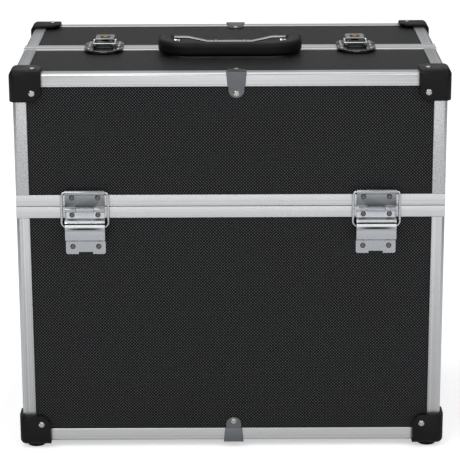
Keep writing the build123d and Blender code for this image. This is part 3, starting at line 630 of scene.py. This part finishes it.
heads_tree = rivet_tree()
for node in ("body_rivets", "front_lid_rivets", "rear_lid_rivets"):
    seats = rivet_seats(node)
    mesh = bpy.data.meshes.new(node + "_seats")
    mesh.from_pydata([tuple(s[0]) for s in seats], [], [])
    for name, values in (("outward", [s[1] for s in seats]),
                         ("size", [Vector((s[2], s[2], s[3])) for s in seats])):
        layer = mesh.attributes.new(name, "FLOAT_VECTOR", "POINT")
        layer.data.foreach_set("vector", [c for v in values for c in v])
    carrier = bpy.data.objects.new(node + "_seats", mesh)
    bpy.context.scene.collection.objects.link(carrier)
    modifier = carrier.modifiers.new("heads", "NODES")
    modifier.node_group = heads_tree
    for item in heads_tree.interface.items_tree:
        if item.name == "Finish" and item.in_out == "INPUT":
            modifier[item.identifier] = rivet_nickel
    bpy.context.view_layer.update()
    made = carrier.evaluated_get(bpy.context.evaluated_depsgraph_get())
    heads = bpy.data.meshes.new_from_object(made)
    bpy.data.objects.remove(carrier)
    stand_for(node, node + "_domed", heads, rivet_nickel, HEAD_SMOOTH)
    heads.materials.append(rivet_painted_dark)
    small = set()
    for head in islands(heads):
        heights = [heads.vertices[v].co.z for v in head]
        nearest = min(abs(heads.vertices[v].co.y) for v in head)
        if max(heights) - min(heights) < 2 * HINGE_RIVET * MM and nearest > FACE_REACH * MM:
            small.update(head)
    # Painted reflection: the hinges' small heads take the rivets painted dark.
    for face in heads.polygons:
        face.material_index = 1 if face.vertices[0] in small else 0


# Latches: pressed and formed steel, chrome plated: a strike with its window, a base with ears,
# a channel lever and a claw. The plate has soft waves and rolled edges, and its one chrome is
# painted darker on the strike and base and brighter on the claw, as painted reflection.
CHROME = "#96989B"
CHROME_PAINTED_DARK = "#5E6063"
CHROME_PAINTED_BRIGHT = "#DCDEE0"
LATCH_EASE = 0.35
CLAW_EASE = 0.25
WAVE_SIZE = 9.0
chrome = plated("chrome_plated_steel", CHROME, roughness=0.12, spangle=WAVE_SIZE)
painted_dark_chrome = plated("chrome_bases_painted_dark", CHROME_PAINTED_DARK, roughness=0.1, spangle=WAVE_SIZE)
painted_bright_chrome = plated("chrome_strip_painted_bright", CHROME_PAINTED_BRIGHT, roughness=0.14, spangle=WAVE_SIZE)
# Painted reflection: the strike and base take the chrome painted darker, the claws the chrome
# painted brighter.
for node in ("latch_strikes", "latch_bases"):
    softened(node, node + "_pressed", LATCH_EASE, painted_dark_chrome)
for side in ("left", "right"):
    softened(f"latch_lever_{side}", f"latch_lever_{side}_pressed", LATCH_EASE, chrome)
for side in ("left", "right"):
    softened(f"latch_claw_{side}", f"latch_claw_{side}_pressed", CLAW_EASE, painted_bright_chrome)


# Key cylinders: turned brass with a keyway, let into the levers. The brass is drawn dull, as the
# small spot of it in the photograph is.
BRASS = "#A08A5C"
KEY_EASE = 0.12
brass = plated("turned_brass", BRASS, roughness=0.22, spangle=1.5)
for side in ("left", "right"):
    softened(f"key_cylinder_{side}", f"key_cylinder_{side}_turned", KEY_EASE, brass)


# Handle strap and pins: chrome plated steel strip bowed over the rim, its ends curled round the
# nickel plated pins.
STRAP_EASE = 0.3
HANDLE_PIN_EASE = 0.2
# The strap takes the chrome painted brighter, a painted reflection.
softened("handle_strap", "handle_strap_formed", STRAP_EASE, painted_bright_chrome)
softened("handle_pins", "handle_pins_turned", HANDLE_PIN_EASE, nickel)


# Handle grip: one moulding of black polypropylene, half matt, with a rounded bar that is fuller
# on top, and bosses that turn on the pins.
GRIP_BLACK = "#0A0B0B"
GRIP_EASE = 0.6
GRIP_GRAIN = (0.9, 0.04)
handle_plastic = moulded("moulded_grip", GRIP_BLACK, 0.5, *GRIP_GRAIN)
softened("handle_grip", "handle_grip_moulded", GRIP_EASE, handle_plastic)


# Stage: a pale paper floor that keeps the case's soft shadow, and a plain surround, white to the
# camera. Glossy rays see it dimmer than white, which keeps the top panel and the chrome about as
# dark as in the photograph. Places are in metres from here on.
FLOOR_WHITE = "#EDEDED"
FLOOR_REACH = 14.0
FLOOR_LIFT = 0.5
SURROUND_LIGHT = 0.45
HORIZON_GLOSS = 0.12
OVERHEAD_GLOSS = 0.5
GLOSS_RISE = (0.3, 0.85)
floor_mesh = bpy.data.meshes.new("paper_floor")
corners = [(-FLOOR_REACH, -FLOOR_REACH, 0), (FLOOR_REACH, -FLOOR_REACH, 0),
           (FLOOR_REACH, FLOOR_REACH, 0), (-FLOOR_REACH, FLOOR_REACH, 0)]
floor_mesh.from_pydata(corners, [], [(0, 1, 2, 3)])
floor = bpy.data.objects.new("paper_floor", floor_mesh)
bpy.context.scene.collection.objects.link(floor)
paper, tree, shader = finish("white_paper", FLOOR_WHITE, metallic=0.0, roughness=0.9)
path = add_node(tree, "ShaderNodeLightPath")
shader.inputs["Emission Color"].default_value = (1, 1, 1, 1)
lift = add_node(tree, "ShaderNodeMath", {"operation": "MULTIPLY"},
                {0: path.outputs["Is Camera Ray"], 1: FLOOR_LIFT})
tree.links.new(lift.outputs[0], shader.inputs["Emission Strength"])
floor_mesh.materials.append(paper)

world = bpy.data.worlds.new("white_surround")
bpy.context.scene.world = world
world.use_nodes = True
tree = world.node_tree
tree.nodes.clear()
path = add_node(tree, "ShaderNodeLightPath")
way = add_node(tree, "ShaderNodeTexCoord")
rise = add_node(tree, "ShaderNodeSeparateXYZ", None, {"Vector": way.outputs["Generated"]})
mirrored = add_node(tree, "ShaderNodeMapRange", {"interpolation_type": "SMOOTHSTEP"},
                    {"Value": rise.outputs["Z"], "From Min": GLOSS_RISE[0],
                     "From Max": GLOSS_RISE[1], "To Min": HORIZON_GLOSS,
                     "To Max": OVERHEAD_GLOSS})
bounced = add_node(tree, "ShaderNodeMix", {"data_type": "FLOAT"},
                   {0: path.outputs["Is Glossy Ray"], 2: SURROUND_LIGHT, 3: mirrored.outputs[0]})
seen = add_node(tree, "ShaderNodeMath", {"operation": "MAXIMUM"},
                {0: path.outputs["Is Camera Ray"], 1: path.outputs["Is Transmission Ray"]})
strength = add_node(tree, "ShaderNodeMix", {"data_type": "FLOAT"},
                    {0: seen.outputs[0], 2: bounced.outputs[0], 3: 1.0})
sky = add_node(tree, "ShaderNodeBackground", None,
               {"Color": (1, 1, 1, 1), "Strength": strength.outputs[0]})
out = add_node(tree, "ShaderNodeOutputWorld", None, {"Surface": sky.outputs[0]})


# Light: large soft panels above, in front and behind, at a plain level. Each has its place, the
# height it is turned to over the middle of the case, its size and its power in watts.
SOFT_PANELS = {"key_panel": ((-1.2, -1.6, 2.2), 0.2, 1.6, 22),
               "fill_panel": ((1.5, -1.5, 1.6), 0.2, 1.6, 12),
               "front_panel": ((0.0, -3.2, 0.5), 0.2, 2.4, 20),
               "back_panel": ((0.0, 3.0, 1.5), 0.35, 2.2, 5),
               "top_panel": ((0.0, 0.5, 2.4), 0.3, 1.6, 10)}
for name, (place, aim, size, power) in SOFT_PANELS.items():
    light = bpy.data.lights.new(name, "AREA")
    light.shape = "SQUARE"
    light.size = size
    light.energy = power
    lamp = bpy.data.objects.new(name, light)
    bpy.context.scene.collection.objects.link(lamp)
    lamp.location = place
    towards = Vector((0, 0, aim)) - Vector(place)
    lamp.rotation_euler = towards.to_track_quat("-Z", "Y").to_euler()


# Camera: a long lens in front of the case and a little above it, looking down at about sixteen
# degrees, worked out from the photographed edges of the frame.
LENS_PIXELS = 2068.8
IMAGE_PIXELS = 460
SENSOR = 36.0
CAMERA_PLACE = (0.0003, -1.8859, 0.7136)
CAMERA_PITCH = -16.02
CAMERA_TURN = -0.03
CAMERA_ROLL = -0.24
lens = bpy.data.cameras.new("camera")
lens.sensor_width = SENSOR
lens.lens = LENS_PIXELS * SENSOR / IMAGE_PIXELS
camera = bpy.data.objects.new("camera", lens)
bpy.context.scene.collection.objects.link(camera)
camera.matrix_world = (Matrix.Translation(CAMERA_PLACE)
                       @ Matrix.Rotation(math.radians(-CAMERA_TURN), 4, "Z")
                       @ Matrix.Rotation(math.radians(90 + CAMERA_PITCH), 4, "X")
                       @ Matrix.Rotation(math.radians(CAMERA_ROLL), 4, "Z"))
bpy.context.scene.camera = camera
bpy.context.scene.view_settings.view_transform = "Standard"
